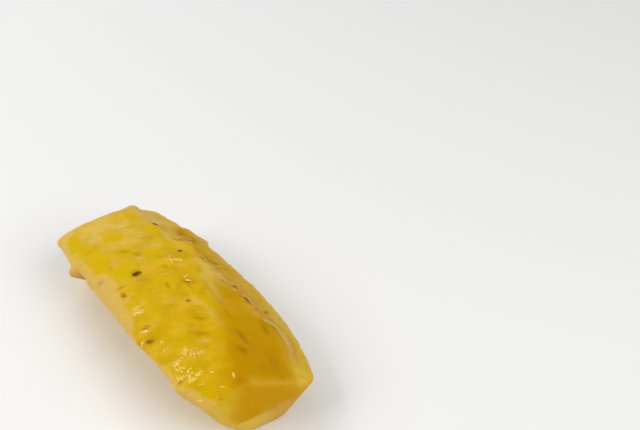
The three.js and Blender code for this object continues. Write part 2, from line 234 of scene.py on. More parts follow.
# Thin folds of membrane left by the knife on the right. Each is a path of x and around, with its
# half width and the height of its lifted edge.
FOLDS = (
    (((-34, 49), (-29, 45), (-25, 37), (-20, 26)), 1.5, 0.35),
    (((-26, 52), (-20, 43), (-16, 33), (-13, 23)), 1.7, 0.40),
    (((-9, 42), (-5.5, 38), (-2.5, 32), (-1.5, 25)), 1.6, 0.40),
    (((-1.5, 45), (1.5, 39), (4, 32), (7, 24)), 1.3, 0.35),
    (((3.5, 45), (8, 39), (11, 33), (16, 24)), 1.4, 0.40),
    (((10, 44), (13.5, 36), (17, 27), (22, 21), (26, 18)), 1.8, 0.32),
    (((25.5, 36), (28, 25), (31, 17), (36, 12.5), (43, 11), (49, 12)), 1.5, 0.40),
)
# Facets along and across a fold, its thickness, how deep it is sunk and how far it rises
FOLD_ROWS, FOLD_COLUMNS, FOLD_THICKNESS, FOLD_SINK, FOLD_RISE = 40, 9, 0.18, 0.12, 0.6
# In parts of a fold's height: the swell under it, and the depth of the crease beside it. In
# millimetres: how far off the fold the crease lies, and its width.
FOLD_SWELL, CREASE_DEPTH, CREASE_OFF, CREASE_WIDTH = 0.25, 0.22, 0.2, 0.6
# Height of the pale bundles, and depth of the dark spots on the peeled face and on the cut faces
STREAK_HEIGHT, SPOT_DEPTH, CAVITY_DEPTH = 0.05, 0.12, 0.45
# Half the width of the floor
FLOOR_HALF = 2500
# The floor point that the camera looks at, in metres
CAMERA_AIM = (-0.0309, 0.0810, 0)
# Soft lamps: metres to the right of the piece, past it and up, then width, height and power
LAMPS = (
    ("key_softbox", -0.60, -0.20, 0.55, 0.45, 0.45, 2.9),
    ("fill_softbox", 0.60, -0.50, 0.65, 0.70, 0.70, 5.3),
    ("back_strip", -0.42, 0.62, 0.60, 0.60, 0.14, 2.0),
)


def hex_colour(code):
    """An sRGB hex colour as linear red, green and blue."""
    parts = [int(code[i:i + 2], 16) / 255 for i in (1, 3, 5)]
    return tuple(c / 12.92 if c <= 0.04045 else ((c + 0.055) / 1.055) ** 2.4 for c in parts)


def add_node(tree, kind, inputs=None, **settings):
    """Adds one node with its settings. Inputs are values, sockets to link from, or nodes, which
    are linked from their first output."""
    node = tree.nodes.new(kind)
    for name, value in settings.items():
        setattr(node, name, value)
    for name, value in (inputs or {}).items():
        if isinstance(value, bpy.types.Node):
            value = value.outputs[0]
        if isinstance(value, bpy.types.NodeSocket):
            tree.links.new(value, node.inputs[name])
        else:
            node.inputs[name].default_value = value
    return node


def smooth(start, end, value):
    """A soft step from 0 at the start to 1 at the end."""
    part = np.clip((value - start) / (end - start), 0, 1)
    return part * part * (3 - 2 * part)


def bell(*distances):
    """1 where every distance is 0, fading softly to 0 away from there."""
    return np.exp(-sum(distance ** 2 for distance in distances))


def blend(parts, power):
    """The largest of some values, rounded off where two are alike."""
    return sum(part ** power for part in parts) ** (1 / power)


def unit(vectors):
    """The vectors brought to length 1."""
    return vectors / np.linalg.norm(vectors, axis=-1, keepdims=True)


def arc_between(around, other):
    """Length on the surface between two angles around the heart line."""
    return np.radians((around - other + 180) % 360 - 180) * MEAN_REACH


def share_between(around, borders):
    """1 between two soft borders around the heart line, and 0 outside them."""
    rise, fall = borders
    around = (around + 90) % 360 - 90
    return smooth(*rise, around) * (1 - smooth(*fall, around))


def lattice(cells, seed):
    """A repeatable random number from 0 to 1 for each whole-numbered cell."""
    mixed = (cells[..., 0] * 73856093) ^ (cells[..., 1] * 19349663) ^ (cells[..., 2] * 83492791)
    mixed = (mixed ^ (seed * 2654435761)) & 0xFFFFFFFF
    mixed = ((mixed ^ (mixed >> 15)) * 2246822519) & 0xFFFFFFFF
    mixed = ((mixed ^ (mixed >> 13)) * 3266489917) & 0xFFFFFFFF
    return ((mixed ^ (mixed >> 16)) & 0xFFFFFF) / 0xFFFFFF


def soft_noise(points, size, seed):
    """Smooth random heights from -1 to 1 whose grain is size, which may differ by axis."""
    scaled = points / np.asarray(size, float)
    floor = np.floor(scaled)
    part = scaled - floor
    part = part * part * part * (part * (part * 6 - 15) + 10)
    cells = floor.astype(np.int64)
    total = 0
    for corner in np.ndindex(2, 2, 2):
        weight = np.prod(np.where(np.array(corner) == 1, part, 1 - part), axis=-1)
        total = total + weight * lattice(cells + np.array(corner), seed)
    return total * 2 - 1


def turned(points, degrees):
    """The points seen in axes that are turned by some degrees about Z."""
    angle = math.radians(degrees)
    x = points[..., 0] * math.cos(angle) + points[..., 1] * math.sin(angle)
    y = points[..., 1] * math.cos(angle) - points[..., 0] * math.sin(angle)
    return np.stack([x, y, points[..., 2]], -1)


def core_reach(points):
    """Distance of points, given above the base, from the fruit's core."""
    return np.hypot(points[..., 1] - CORE_Y, points[..., 2] - CORE_Z)


def strand_space(points):
    """Places counted in strands: along the piece, around the core and away from it."""
    reach = core_reach(points)
    fan = np.arctan2(points[..., 1] - CORE_Y, points[..., 2] - CORE_Z) * FAN_REACH
    along = points[..., 0] - STRAND_LEAN * reach
    return np.stack([along / STRAND_GAP, fan / STRAND_GAP, reach / STRAND_LENGTH], -1)


def ray_direction(turn, around):
    """The way of a ray that is turned towards an end and points around the heart line."""
    turn, around = np.radians(turn), np.radians(around)
    return np.stack([
        np.sin(turn) + 0 * around,
        np.cos(turn) * np.cos(around),
        np.cos(turn) * np.sin(around),
    ], -1)


def nearness(direction, cut, distance):
    """One over the run of each ray to a flat cut, or 0 where the ray runs away from it."""
    return np.maximum(direction @ np.array(cut, float), 0) / distance


def side_nearness(start_x, direction, x, length):
    """How near the sides are along each ray. The cuts taper and bow with x."""
    part = x / (length / 2)
    along, across, up, distance = CORNER_STROKE
    cuts = [nearness(direction, (along, across, up), distance - along * start_x)]
    for facing, reach, taper, bow in LONG_CUTS:
        facing = math.radians(facing)
        way = (0, math.cos(facing), math.sin(facing))
        cuts.append(nearness(direction, way, reach + taper * part - bow * part * part))
    return blend(cuts, SIDE_POWER)


def end_nearness(start_x, direction, length):
    """How near the ends are along each ray."""
    cuts = [nearness(direction, cut, length / 2 - cut[0] * start_x) for cut in END_CUTS]
    return blend(cuts, END_POWER)


def patch(x, around, middle_x, middle_around, half_along, half_across, lean=0):
    """A soft patch on the surface, from 1 at its middle to 0, that may lean along the piece."""
    across = arc_between(around, middle_around)
    along = x - middle_x - lean * across
    return bell(along / half_along, across / half_across)


def patches(x, around, rows, unevenness, start, full):
    """The sum of a table's patches, each with an uneven edge between two of its levels."""
    total = 0
    for *row, strength in rows:
        total = total + strength * smooth(start, full, patch(x, around, *row) + unevenness)
    return total


def dark_spots(x, around):
    """The sum of the dark spots and the seed cavities."""
    total = 0
    for *row, strength in DARK_SPOTS + SEED_CAVITIES:
        total = total + strength * patch(x, around, *row)
    return total


def wetness(x, around, spread):
    """The sum of the wettest places, each spread by a factor."""
    total = 0
    for wet_x, wet_around, width in WET_PLACES:
        total = total + patch(x, around, wet_x, wet_around, width * spread, width * spread)
    return total


def streaks(x, around):
    """The sum of the soft lines between the two ends of each streak."""
    total = 0
    for x0, a0, x1, a1, half_width in PALE_STREAKS:
        run_x, run_arc = x1 - x0, arc_between(a1, a0)
        length = math.hypot(run_x, run_arc)
        from_x, from_arc = x - x0, arc_between(around, a0)
        along = (from_x * run_x + from_arc * run_arc) / length
        aside = (from_x * run_arc - from_arc * run_x) / length
        inside = smooth(-1, 1.5, along) * (1 - smooth(length - 1.5, length + 1, along))
        total = total + inside * bell(aside / half_width)
    return total


def from_segment(across, up, start, end):
    """Distance of flat places from a segment, how far along it they lie, and on which side."""
    run = np.subtract(end, start)
    from_across, from_up = across - start[0], up - start[1]
    along = np.clip((from_across * run[0] + from_up * run[1]) / (run @ run), 0, 1)
    away = np.hypot(from_across - along * run[0], from_up - along * run[1])
    return away, along, np.sign(run[0] * from_up - run[1] * from_across)


def path_points(path, count):
    """Evenly numbered points on a smooth curve through a path's places."""
    places = np.array([path[0], *path, path[-1]], float)
    at = np.linspace(0, len(path) - 1, count)
    start = np.minimum(at.astype(int), len(path) - 2)
    part = (at - start)[:, None]
    before, here, there, after = (places[start + k] for k in range(4))
    return 0.5 * (2 * here + (there - before) * part
                  + (2 * before - 5 * here + 4 * there - after) * part ** 2
                  + (3 * here - before - 3 * there + after) * part ** 3)


def fold_distance(x, around, path):
    """How far a place lies to the near side of a fold's path, and how far along the path."""
    curve = path_points(path, 25)
    curve[:, 1] = arc_between(curve[:, 1], TOP)
    arc = arc_between(around, TOP)
    best = np.full(np.shape(x), np.inf)
    aside, part = np.zeros(np.shape(x)), np.zeros(np.shape(x))
    for index in range(len(curve) - 1):
        away, along, side = from_segment(x, arc, curve[index], curve[index + 1])
        nearer = away < best
        best = np.where(nearer, away, best)
        aside = np.where(nearer, away * side, aside)
        part = np.where(nearer, (index + along) / (len(curve) - 1), part)
    return aside, part


def broad_relief(x, around):
    """The lumps, swells, pits and flaps that the part's source has too."""
    height = 0
    for lump_x, lump_around, size, along, across, torn_at in LUMPS:
        lump = size * patch(x, around, lump_x, lump_around, along, across)
        if torn_at is not None:
            lump = lump * (1 - smooth(torn_at - TEAR, torn_at + TEAR, x))
        height = height + lump
    arc = arc_between(around, TOP)
    along = 2 * np.pi * x / SWELL_ALONG
    across = 2 * np.pi * arc / SWELL_ACROSS
    ripple = 2 * np.pi * (x + RIPPLE_SLANT * arc) / RIPPLE_LENGTH
    swell = np.sin(along + 0.8 * np.sin(across)) * np.cos(across + 0.6 * np.sin(along))
    swell = SWELL_HEIGHT * swell + RIPPLE_HEIGHT * np.sin(ripple + np.sin(across))
    peeled = share_between(around, PEELED)
    height = height + swell * (0.35 + 0.65 * peeled)
    for eye_x, eye_around, depth, width, _, _ in EYES:
        height = height - depth * peeled * patch(x, around, eye_x, eye_around, width, width)
    for start, end, first, last, sag, size, width in FLAPS:
        part = np.clip((x - start) / (end - start), 0, 1)
        line = first + (last - first) * part - sag * np.sin(np.pi * part)
        fade = smooth(start - FLAP_FADE, start + FLAP_FADE, x)
        fade = fade * (1 - smooth(end - FLAP_FADE, end + FLAP_FADE, x))
        above = arc_between(around, line)
        half_width = width * np.where(above > 0, FLAP_BACK, FLAP_FRONT)
        height = height + size * fade * bell(above / half_width)
    return height


def fine_relief(points, x, around, turn, settings):
    """Fibres, wet bumps, streaks and the hollows under the folds, in millimetres."""
    cosine = np.cos(np.radians(turn))
    peeled = share_between(around, PEELED) * cosine
    cut = 1 - peeled
    leaning = turned(points, FIBRE_LEAN)
    fibres = soft_noise(leaning, (4.0, 1.1, 3.0), 11)
    fibres = fibres * smooth(-0.2, 0.5, soft_noise(points, 6.5, 16))
    strands = strand_space(points + [0, 0, settings.heart_height / MM])
    grain = soft_noise(strands, 1.0, 13) + 0.5 * soft_noise(strands, (0.5, 0.5, 0.4), 18)
    lumpy = soft_noise(points, (4.6, 4.0, 4.6), 14) + 0.45 * soft_noise(points, 2.1, 17)
    bumps = 0.35 + np.abs(soft_noise(points, 1.3, 15))
    tears = soft_noise(points, 1.6, 44) + 0.8 * np.abs(soft_noise(points, 3.2, 45))
    height = (
        settings.fibre_height * fibres * peeled
        + settings.grain_height * grain * cut
        + settings.lump_height * lumpy * (0.3 + 0.7 * peeled)
        + settings.wet_height * bumps * np.minimum(wetness(x, around, 1), 1) * peeled
        + settings.tear_height * tears * share_between(around, RIGHT_EDGE) * cosine) / MM
    height = height + STREAK_HEIGHT * peeled * streaks(x, around)
    height = height - (SPOT_DEPTH * peeled + CAVITY_DEPTH * cut) * dark_spots(x, around)
    for path, half_width, lift in FOLDS:
        aside, part = fold_distance(x, around, path)
        there = lift * np.sin(np.pi * part) ** 0.7
        crease = bell((aside - half_width - CREASE_OFF) / CREASE_WIDTH)
        height = height + there * (FOLD_SWELL * bell(aside / half_width) - CREASE_DEPTH * crease)
    return height


def side_reach(start_x, direction, x, turn, around, length):
    """How far a ray runs to the sides of the piece, with their relief."""
    relief = broad_relief(x, around) * np.cos(np.radians(turn))
    return 1 / np.maximum(side_nearness(start_x, direction, x, length), 1e-6) + relief


def along_rays(start_x, direction, reach):
    """The points that lie this far along the rays."""
    points = reach[..., None] * direction
    points[..., 0] += start_x
    return points


def surface_points(start_x, turn, around, settings, fine=True):
    """Points where rays from the heart line leave the piece, given above the base, with the x and
    the angle that their relief was read at, and how far each lies on an end face."""
    length = settings.length / MM
    heart = settings.heart_height / MM
    direction = ray_direction(turn, around)
    around = around + 0 * direction[..., 0]
    start_x = start_x + 0 * direction[..., 0]
    x = start_x.copy()
    ends = end_nearness(start_x, direction, length)
    for _ in range(3):
        sides = 1 / side_reach(start_x, direction, x, turn, around, length)
        reach = 1 / blend((sides, ends), END_POWER)
        x = start_x + direction[..., 0] * reach
    if fine:
        points = along_rays(start_x, direction, reach)
        reach = reach + fine_relief(points, x, around, turn, settings)
    base = nearness(direction, DOWN, heart)
    reach = 1 / blend((1 / np.maximum(reach, 1), base), BASE_POWER)
    reach = np.minimum(reach, 1 / np.maximum(base, 1e-9))
    points = along_rays(start_x, direction, reach)
    points[..., 2] += heart
    at_end = smooth(0.93, 1.03, ends / np.maximum(sides, base))
    return points, x, around, at_end


def edge_turn(side, around, settings):
    """The turn at which an end's rays pass its edge, for each direction around."""
    length = settings.length / MM
    start_x = side * (length / 2 - END_DEPTH)
    low = np.zeros_like(around)
    high = np.full_like(around, 90.0)
    for _ in range(14):
        turn = (low + high) / 2
        direction = ray_direction(side * turn, around)
        ends = end_nearness(start_x, direction, length)
        x = start_x + direction[..., 0] / np.maximum(ends, 1 / length)
        sides = 1 / side_reach(start_x, direction, x, turn, around, length)
        past = ends > np.maximum(sides, nearness(direction, DOWN, settings.heart_height / MM))
        high = np.where(past, turn, high)
        low = np.where(past, low, turn)
    return low


def flesh_grid(settings):
    """The start and turn of every ray, row by row from the far end to the near end."""
    columns, side_rows = settings.columns, settings.end_side_rows
    body_rows, face_rows = settings.body_rows, settings.end_face_rows
    around = np.linspace(0, 360, columns, endpoint=False)
    inner = settings.length / MM / 2 - END_DEPTH
    starts, turns = [], []
    for side in (-1, 1):
        edge = edge_turn(side, around, settings)
        rows = [edge * step / side_rows for step in range(1, side_rows + 1)]
        rows += [edge + (90 - edge) * step / face_rows for step in range(1, face_rows)]
        if side < 0:
            rows = rows[::-1]
        starts += [np.full(columns, side * inner)] * len(rows)
        turns += [side * row for row in rows]
        if side < 0:
            starts += [np.full(columns, x) for x in np.linspace(-inner, inner, body_rows + 1)]
            turns += [np.zeros(columns)] * (body_rows + 1)
    return np.array(starts), np.array(turns), around[None, :]


def piece_shift(points):
    """The move that brings the points to the CAD node's box, base on the floor."""
    low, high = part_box(NODE)
    centre = (np.array(low) + np.array(high)) / 2 / MM
    middle = (points.reshape(-1, 3).min(0) + points.reshape(-1, 3).max(0)) / 2
    return np.array([centre[0] - middle[0], centre[1] - middle[1], 0])


def ring_quads(index):
    """The quads between the rows of a grid of point numbers whose rows are closed rings."""
    right = np.roll(index, -1, axis=1)
    return np.stack([index[:-1], right[:-1], right[1:], index[1:]], -1).reshape(-1, 4).tolist()


def new_mesh(name, points, faces, material):
    """A mesh whose points are given in millimetres."""
    mesh = bpy.data.meshes.new(name)
    mesh.from_pydata((np.asarray(points) * MM).tolist(), [], faces)
    mesh.validate()
    mesh.update()
    mesh.materials.append(material)
    return mesh


def new_object(name, data):
    """An object at the origin, in the scene."""
    made = bpy.data.objects.new(name, data)
    bpy.context.scene.collection.objects.link(made)
    return made


def new_piece(name, mesh):
    """A smooth piece of the model, with its place in its points, that rides on the one body."""
    mesh.name = name
    mesh.shade_smooth()
    piece = new_object(name, mesh)
    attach(piece, "root")
    return piece


def store_field(mesh, name, values):
    """Stores a number, or a vector, at each point for the materials to read."""
    kind, key = ("FLOAT", "value") if values.ndim == 1 else ("FLOAT_VECTOR", "vector")
    attribute = mesh.attributes.new(name, kind, "POINT")
    attribute.data.foreach_set(key, np.ascontiguousarray(values, dtype=np.float32).ravel())


def cut_share(across, up, cut):
    """How far places above the heart line lie towards a long cut, from 0 to 1."""
    facing = math.radians(cut[0])
    return (math.cos(facing) * across + math.sin(facing) * up) / cut[1]


def end_face(points, heart):
    """Shares of the near end face that are painted shade, pale rim, pink, painted highlight and
    pale lump.
    """
    x, y, z = np.moveaxis(points, -1, 0)
    # Painted shade in deep orange over all but the left of the face
    amber = smooth(-14, -7, y + 1.6 * soft_noise(points, 3.0, 39))
    # The pale rim by the left cut and along the bottom: partly paler cut flesh, partly painted
    # bounce light from the floor
    rim = np.maximum(cut_share(y, z - heart, LONG_CUTS[0]), 1.45 * (1 - z / heart))
    rim = smooth(0.64, 0.84, rim + 0.06 * soft_noise(points, 2.5, 48)) * (1 - smooth(0, 6, y))
    low = 1 - smooth(4, 10, z - 0.1 * y + soft_noise(points, 2.5, 49))
    pink = 0.8 * smooth(-4, 1, y) * low
    pink = np.maximum(pink, smooth(0.88, 0.97, cut_share(y, z - heart, LONG_CUTS[-1])))
    pink = np.maximum(pink, 0.7 * bell((y + 16.5) / 2.2, (z - 17) / 2.2))
    # Painted highlight along the upper edge of the face
    edge_highlight = 0
    for first, last in zip(END_EDGE_HIGHLIGHT[:-1], END_EDGE_HIGHLIGHT[1:]):
        edge_highlight = np.maximum(edge_highlight, bell(from_segment(y, z, first, last)[0] / 1.3))
    edge_highlight = 0.5 * edge_highlight * smooth(50, 52.5, x)
    lump_y, lump_z, half_y, half_z = END_LUMP
    lump = bell((y - lump_y) / half_y, (z - lump_z) / half_z)
    return amber, rim, pink, edge_highlight, np.clip(1.3 * lump, 0, 1) * smooth(46, 50, x)


def peeled_colours(points, x, around):
    """How ripe and pale the peeled face is at each point, and how much painted shade in deep orange
    it gets.
    """
    leaning = turned(points, FIBRE_LEAN)
    arc = arc_between(around, TOP)
    uneven = 0.14 * soft_noise(points, 1.6, 31) + 0.12 * soft_noise(leaning, (2.4, 0.9, 2), 35)
    ripe = 1.2 * patches(x, around, RIPE_PATCHES, uneven, 0.12, 0.52)
    uneven = 0.12 * soft_noise(points, 2.0, 36)
    pale = patches(x, around, PALE_PATCHES, uneven, 0.05, 0.9) + 0.40 * streaks(x, around)
    # Milkier towards the far end and on the right
    milky = 0.62 - 0.60 * smooth(-46, -6, x) + 0.12 * smooth(-12, -22, arc)
    blotches = soft_noise(leaning, (5.0, 2.4, 4.0), 32)
    blotches = blotches + 0.5 * soft_noise(leaning, (2.2, 1.0, 2.0), 37)
    pale = np.clip(pale + milky * (0.75 + 0.55 * blotches), 0, 1)
    # Painted shade in deep orange on the slope past a ridge at the near right, which faces away
    # from the key lamp, and on the right of the far half
    ridge = -5.2 + 0.70 * (x - 20)
    clouds = 1.2 * soft_noise(points, 5.0, 33) + 0.7 * soft_noise(points, 2.4, 38)
    amber = smooth(-4.5, 4.0, ridge - arc + clouds) * smooth(-6, 14, x)
    amber = amber * (0.72 + 0.28 * smooth(22, 42, x))
    olive_shade = smooth(-36, -29, x) * share_between(around, OLIVE_SHADE)
    amber = np.maximum(amber, 0.75 * olive_shade * (0.6 + 0.4 * soft_noise(points, 3.0, 34)))
    return ripe, pale * (1 - 0.95 * np.clip(ripe, 0, 1)), amber


def left_strip(points, x, around):
    """How far each point lies on the strip along the left edge, and how pink it is there. The
    strip is cream beside its inner line and pinker towards the cut."""
    past_line = arc_between(around, np.interp(x, *zip(*STRIP_LINE)))
    on_strip = smooth(-0.7, 0.8, past_line + 0.45 * soft_noise(points, 1.8, 46))
    on_strip = on_strip * (1 - smooth(1.5, 4.5, arc_between(around, STRIP_END))) * (around > TOP)
    pink = smooth(0.6, 2.8, past_line + 1.5 * soft_noise(points, (4.0, 3.0, 3.0), 43))
    return on_strip, 0.75 * on_strip * pink


def scars(points, x, around):
    """The stain round the eye scraps, the painted shade in the creases beside the folds, and the
    membrane of the folds.
    """
    stain, crease, skin = 0, 0, 0
    speckle = 0.8 + 0.5 * soft_noise(points, 0.9, 40)
    for eye_x, eye_around, _, _, scrap, dryness in EYES:
        if scrap > 0:
            halo = patch(x, around, eye_x, eye_around, 0.35 + 0.55 * scrap, 0.35 + 0.45 * scrap)
            stain = stain + 0.8 * (0.2 + 0.8 * dryness) * halo * speckle
    for path, half_width, _ in FOLDS:
        aside, part = fold_distance(x, around, path)
        there = np.sqrt(np.sin(np.pi * part))
        # Painted shade in the creases on both sides of a fold
        crease = crease + 0.4 * there * bell((aside - half_width - CREASE_OFF) / CREASE_WIDTH)
        crease = crease + 0.3 * there * bell((aside + half_width) / 0.5)
        skin = skin + 0.5 * there * bell((aside + 0.5 * half_width) / 1.1)
    return stain, crease, skin


def flesh_fields(points, x, around, at_end, heart):
    """What the flesh material reads at each point. Points are given above the base, and each
    field runs from 0 to 1."""
    side_share = 1 - at_end
    near_end = at_end * (x > 0)
    shown = share_between(around, SHOWN) * side_share
    ripe, pale, amber = peeled_colours(points, x, around)
    on_strip, pink = (share * side_share for share in left_strip(points, x, around))
    stain, crease, skin = scars(points, x, around)

    # Cut faces: cream near the core, deeper yellow under the peel
    reach = core_reach(points) + 1.6 * soft_noise(points, 5.0, 47)
    cut = 1 - np.maximum(shown, near_end)
    cream = np.maximum(0.8 * (1 - smooth(15, 27, reach)), 0.85 * on_strip)
    pale = np.maximum(pale, 0.85 * on_strip) * shown + cut * cream
    ripe = (ripe * shown + 0.35 * cut * smooth(31, 38, reach)) * (1 - on_strip)
    amber = amber * shown

    # The near end face: painted shade in deep orange, golden painted light at its left, and a pale
    # rim at the left and below that is partly paler cut flesh and partly painted bounce light from
    # the floor
    end_amber_shade, end_rim_and_bounce_light, end_pink, edge_highlight, lump = end_face(points, heart)
    end_painted_light = near_end * (1 - smooth(-15, -10, points[..., 1]))
    pale = np.max([pale, 0.75 * near_end * end_rim_and_bounce_light, edge_highlight, 0.85 * lump], axis=0)
    ripe = np.max([ripe, 0.45 * lump, 0.35 * end_painted_light], axis=0)
    amber = np.maximum(amber, near_end * end_amber_shade * (1 - end_rim_and_bounce_light))
    amber = amber * (1 - lump) * (1 - 0.8 * edge_highlight)
    rim = np.maximum(pink, 0.75 * near_end * end_pink * (1 - lump))
    for *row, strength in PINK_PATCHES:
        rim = np.maximum(rim, strength * patch(x, around, *row) * side_share)
    fields = {
        "cut": np.maximum(cut, 0.4 * near_end) * (1 - lump), "ripe": ripe, "pale": pale,
        "amber": amber, "rim": rim, "stain": stain, "skin": skin * side_share,
        "dark": dark_spots(x, around) * side_share, "crease": crease * side_share,
        "wet": wetness(x, around, 1.5),
    }
    return {name: np.clip(values, 0, 1) for name, values in fields.items()}


def height_property(name, description, default):
    return bpy.props.FloatProperty(
        name=name, description=description, default=default, min=0, max=0.001, unit="LENGTH")


def count_property(name, description, default, low, high):
    return bpy.props.IntProperty(
        name=name, description=description, default=default, min=low, max=high)


def colour_property(name, description, code):
    return bpy.props.FloatVectorProperty(
        name=name, description=description, subtype="COLOR", size=3, min=0, max=1,
        default=hex_colour(code))


class FleshSettings(bpy.types.PropertyGroup):
    length: bpy.props.FloatProperty(
        name="Length", description="Distance between the two end cuts along the heart line",
        default=0.1054, min=0.05, max=0.2, unit="LENGTH")
    heart_height: bpy.props.FloatProperty(
        name="Heart height", description="Height of the heart line above the core cut",
        default=0.014, min=0.005, max=0.03, unit="LENGTH")
    fibre_height: height_property(
        "Fibre height", "Height of the fibre ends on the peeled face", 0.00007)
    grain_height: height_property(
        "Strand height", "Height of the strands on the cut faces", 0.00009)
    lump_height: height_property(
        "Lump height", "Height of the soft unevenness of the flesh", 0.00014)
    wet_height: height_property("Wet bump height", "Height of the wet bumps", 0.00035)
    tear_height: height_property(
        "Tear height", "Height of the torn bits along the right edge", 0.00030)
    columns: count_property("Columns", "Facets around the heart line", 360, 60, 400)
    body_rows: count_property("Body rows", "Facets along the body", 180, 30, 300)
    end_side_rows: count_property(
        "End side rows", "Facets from the body to an end's edge", 20, 4, 40)
    end_face_rows: count_property(
        "End face rows", "Facets from an end's edge to its middle", 20, 4, 40)
    golden: colour_property("Golden flesh", "The usual colour of the flesh", "#D4AA08")
    tan: colour_property("Tan flesh", "Clouds of denser, less see-through flesh", "#DCB02C")
    ripe: colour_property("Ripe flesh", "The deep yellow patches", "#D3B000")
    pale: colour_property("Pale flesh", "Fibre bundles and the far end", "#D9B754")
    # Painted shade: the deep orange laid on the slope at the near right that faces away from the
    # key lamp
    amber: colour_property("Amber flesh", "The smokier slope at the near right", "#C38F00")
    rim: colour_property("Rim", "The pale pinkish rim of the side cuts", "#D3AB60")
    skin: colour_property("Membrane", "The pinkish edges of the thin folds", "#DAAA62")
    cut: colour_property(
        "Cut face", "The smoother flesh of the side cuts, far end and core cut", "#D2A836")
    dark: colour_property(
        "Dark flesh", "Spots where the flesh is more see-through", "#A87600")
    # Painted shade: the dark brown laid in the creases beside the folds
    crease: colour_property("Creases", "The brown of the creases beside the folds", "#855602")
    stain: colour_property("Stain", "The brown stain round the eye scraps", "#6E3A06")


class ScrapSettings(bpy.types.PropertyGroup):
    brown: colour_property("Dry brown", "Colour of the dry scraps of the eyes", "#6C3A0A")
    soft: colour_property(
        "Soft brown", "Colour of the scraps and ends that are still soft", "#BA842A")


class JuiceSettings(bpy.types.PropertyGroup):
    density: bpy.props.FloatProperty(
        name="Bead density", description="Beads on each square metre of the wettest flesh",
        default=1000000, min=0, max=9000000)
    smallest: height_property("Smallest bead", "Radius of the smallest bead", 0.0003)
    largest: height_property("Largest bead", "Radius of the largest bead", 0.0008)
    unevenness: height_property("Unevenness", "How far the beads are dented", 0.0006)
    # Lighter than the flesh, so the beads read partly as painted highlight
    tint: colour_property("Juice tint", "Colour of the juice", "#F0C94E")


class StageSettings(bpy.types.PropertyGroup):
    camera_distance: bpy.props.FloatProperty(
        name="Camera distance", description="From the camera to the floor point it looks at",
        default=0.4465, min=0.1, max=5, unit="LENGTH")
    camera_elevation: bpy.props.FloatProperty(
        name="Camera elevation", description="How steeply the camera looks down",
        default=math.radians(36), min=0, max=math.pi / 2, subtype="ANGLE", unit="ROTATION")
    camera_azimuth: bpy.props.FloatProperty(
        name="Camera azimuth", description="Turn of the view about the vertical",
        default=math.radians(54.45), subtype="ANGLE", unit="ROTATION")
    lens: bpy.props.FloatProperty(
        name="Lens", description="Focal length on a sensor 36 mm wide", default=62.7,
        min=10, max=300)


FIELDS = ("cut", "ripe", "pale", "amber", "rim", "skin", "dark", "stain", "crease", "wet")


def rgba(colour):
    return tuple(colour) + (1,)


def new_material(name, values):
    """A material with values on the sockets of its shader, a call that adds nodes to it, and the
    shader."""
    material = bpy.data.materials.new(name)
    material.use_nodes = True
    shader = material.node_tree.nodes["Principled BSDF"]
    for socket, value in values.items():
        shader.inputs[socket].default_value = value
    return material, partial(add_node, material.node_tree), shader


